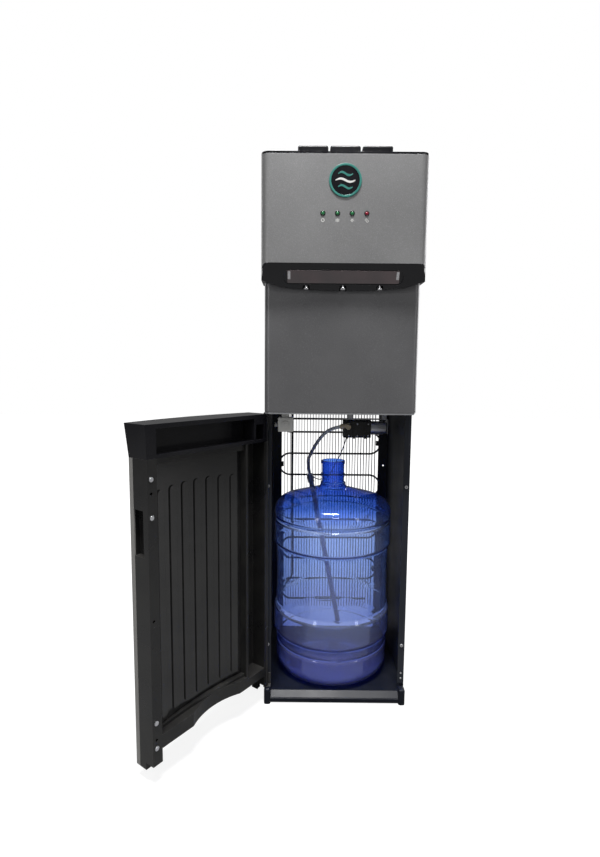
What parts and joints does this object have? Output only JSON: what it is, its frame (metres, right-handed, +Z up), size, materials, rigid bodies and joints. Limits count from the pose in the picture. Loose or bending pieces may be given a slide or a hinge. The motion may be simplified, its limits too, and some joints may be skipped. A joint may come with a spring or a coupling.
{
  "type": "bottom-load water dispenser",
  "caption": "Free-standing bottom-load water dispenser with its door open on a blue bottle, push keys on top, and tanks, pump and wire condenser inside.",
  "frame": {"origin": "on the floor, at the centre of the steel cabinet's footprint", "axes": "+Z up, -Y to the front where the door opens, +X to the right seen from the front"},
  "size_m": [0.5252, 0.5555, 1.1275],
  "materials": {
    "black_moulding": "satin black moulding, lightly dusty",
    "dark_paint": "dark navy grey powder coat",
    "screw_steel": "plain screw steel",
    "zinc_sheet": "galvanised sheet",
    "grey_texture": "fine-grained mid grey plastic",
    "gloss_black": "glossy black plastic",
    "smoked_window": "smoked mirror-like strip",
    "teal_ring": "teal badge ring",
    "lens_clear": "light pipes",
    "board_green": "printed circuit board",
    "bright_nozzle": "polished nozzles",
    "white_plastic": "off-white plastic",
    "silver_trim": "silver trim",
    "stainless": "stainless steel",
    "foam": "rigid foam",
    "black_paint": "black paint on steel",
    "black_rubber": "black rubber",
    "copper": "copper tube",
    "pale_silicone": "pale silicone tube",
    "motor_silver": "plated motor can",
    "beige_plastic": "beige moulding",
    "clear_hose": "translucent bluish white hose",
    "grey_plastic": "grey moulding",
    "rocker_red": "red rocker",
    "rocker_green": "green rocker",
    "door_grey": "light grey door skin",
    "screw_cover": "silver discs",
    "blue_bottle": "deep blue translucent polycarbonate"
  },
  "bodies": {
    "cabinet": {"base_tray": "black_moulding", "left_side_panel": "dark_paint", "right_side_panel": "dark_paint", "panel_screws": "screw_steel", "mid_shelf": "zinc_sheet", "upper_back_panel": "zinc_sheet", "top_cover": "black_moulding", "head_skin": "grey_texture", "head_shell": "gloss_black", "window_strip": "smoked_window", "badge_ring": "teal_ring", "badge_disc": "gloss_black", "indicator_lenses": "lens_clear", "control_board": "board_green", "spout_tubes": "bright_nozzle", "faucet_bodies": "white_plastic", "key_pivot_rod": "screw_steel", "key_frame": "black_moulding", "lower_front_panel": "grey_texture", "panel_trim_strip": "silver_trim", "tank_shelf": "zinc_sheet", "cold_tank": "stainless", "hot_tank": "stainless", "tank_foam": "foam", "heater_bands": "zinc_sheet", "compressor": "black_paint", "compressor_grommets": "black_rubber", "suction_line": "copper", "filter_drier": "copper", "water_tubes": "pale_silicone", "condenser_tube": "black_paint", "condenser_wires": "black_paint", "condenser_clips": "black_moulding", "pump_head": "black_moulding", "pump_motor": "motor_silver", "pump_bracket": "zinc_sheet", "elbow_fitting": "beige_plastic", "suction_hose": "clear_hose", "suction_lance": "grey_plastic", "sensor_cable": "grey_plastic", "door_switch_box": "white_plastic", "switch_bezels": "black_moulding", "cord_gland": "black_rubber", "drain_caps": "black_moulding", "hinge_brackets": "black_paint"},
    "door": {"door_frame": "black_moulding", "door_skin": "door_grey", "door_liner": "gloss_black", "door_cap": "gloss_black", "door_screws": "screw_cover"},
    "bottle": {"bottle": "blue_bottle"},
    "hot_key": {"key_hot": "gloss_black"},
    "room_key": {"key_room": "gloss_black"},
    "cold_key": {"key_cold": "gloss_black"},
    "hot_stem": {"stem_hot": "white_plastic"},
    "room_stem": {"stem_room": "white_plastic"},
    "cold_stem": {"stem_cold": "white_plastic"},
    "plunger": {"switch_plunger": "white_plastic"},
    "hot_rocker": {"rocker_hot": "rocker_red"},
    "cold_rocker": {"rocker_cold": "rocker_green"}
  },
  "joints": [
    {"name": "door_hinge", "type": "hinge", "parent": "cabinet", "child": "door", "pos_m": [-0.149, -0.153, 0.3], "axis": [0, 0, -1], "range_deg": [-126.5, 7]},
    {"name": "bottle_slide", "type": "slide", "parent": "cabinet", "child": "bottle", "axis": [0, -1, 0], "range_m": [0, 0.42]},
    {"name": "hot_key_hinge", "type": "hinge", "parent": "cabinet", "child": "hot_key", "pos_m": [-0.0595, -0.1805, 1.1098], "axis": [1, 0, 0], "range_deg": [0, 6], "stiffness_Nm_per_rad": 1, "springref_deg": -3.44},
    {"name": "room_key_hinge", "type": "hinge", "parent": "cabinet", "child": "room_key", "pos_m": [0, -0.1805, 1.1098], "axis": [1, 0, 0], "range_deg": [0, 6], "stiffness_Nm_per_rad": 1, "springref_deg": -3.44},
    {"name": "cold_key_hinge", "type": "hinge", "parent": "cabinet", "child": "cold_key", "pos_m": [0.0595, -0.1805, 1.1098], "axis": [1, 0, 0], "range_deg": [0, 6], "stiffness_Nm_per_rad": 1, "springref_deg": -3.44},
    {"name": "hot_stem_slide", "type": "slide", "parent": "cabinet", "child": "hot_stem", "axis": [0, 0, -1], "range_m": [0, 0.0025]},
    {"name": "room_stem_slide", "type": "slide", "parent": "cabinet", "child": "room_stem", "axis": [0, 0, -1], "range_m": [0, 0.0025]},
    {"name": "cold_stem_slide", "type": "slide", "parent": "cabinet", "child": "cold_stem", "axis": [0, 0, -1], "range_m": [0, 0.0025]},
    {"name": "plunger_slide", "type": "slide", "parent": "cabinet", "child": "plunger", "axis": [1, 0, 0], "range_m": [0, 0.004], "stiffness_N_per_m": 200, "springref_m": -0.002},
    {"name": "hot_rocker_hinge", "type": "hinge", "parent": "cabinet", "child": "hot_rocker", "pos_m": [0.04, 0.1436, 1.055], "axis": [-1, 0, 0], "range_deg": [0, 16]},
    {"name": "cold_rocker_hinge", "type": "hinge", "parent": "cabinet", "child": "cold_rocker", "pos_m": [-0.04, 0.1436, 1.055], "axis": [-1, 0, 0], "range_deg": [0, 16]}
  ],
  "couplings": [
    {"joint": "hot_stem_slide", "follows": "hot_key_hinge", "m_per_rad": 0.02},
    {"joint": "room_stem_slide", "follows": "room_key_hinge", "m_per_rad": 0.02},
    {"joint": "cold_stem_slide", "follows": "cold_key_hinge", "m_per_rad": 0.02}
  ]
}
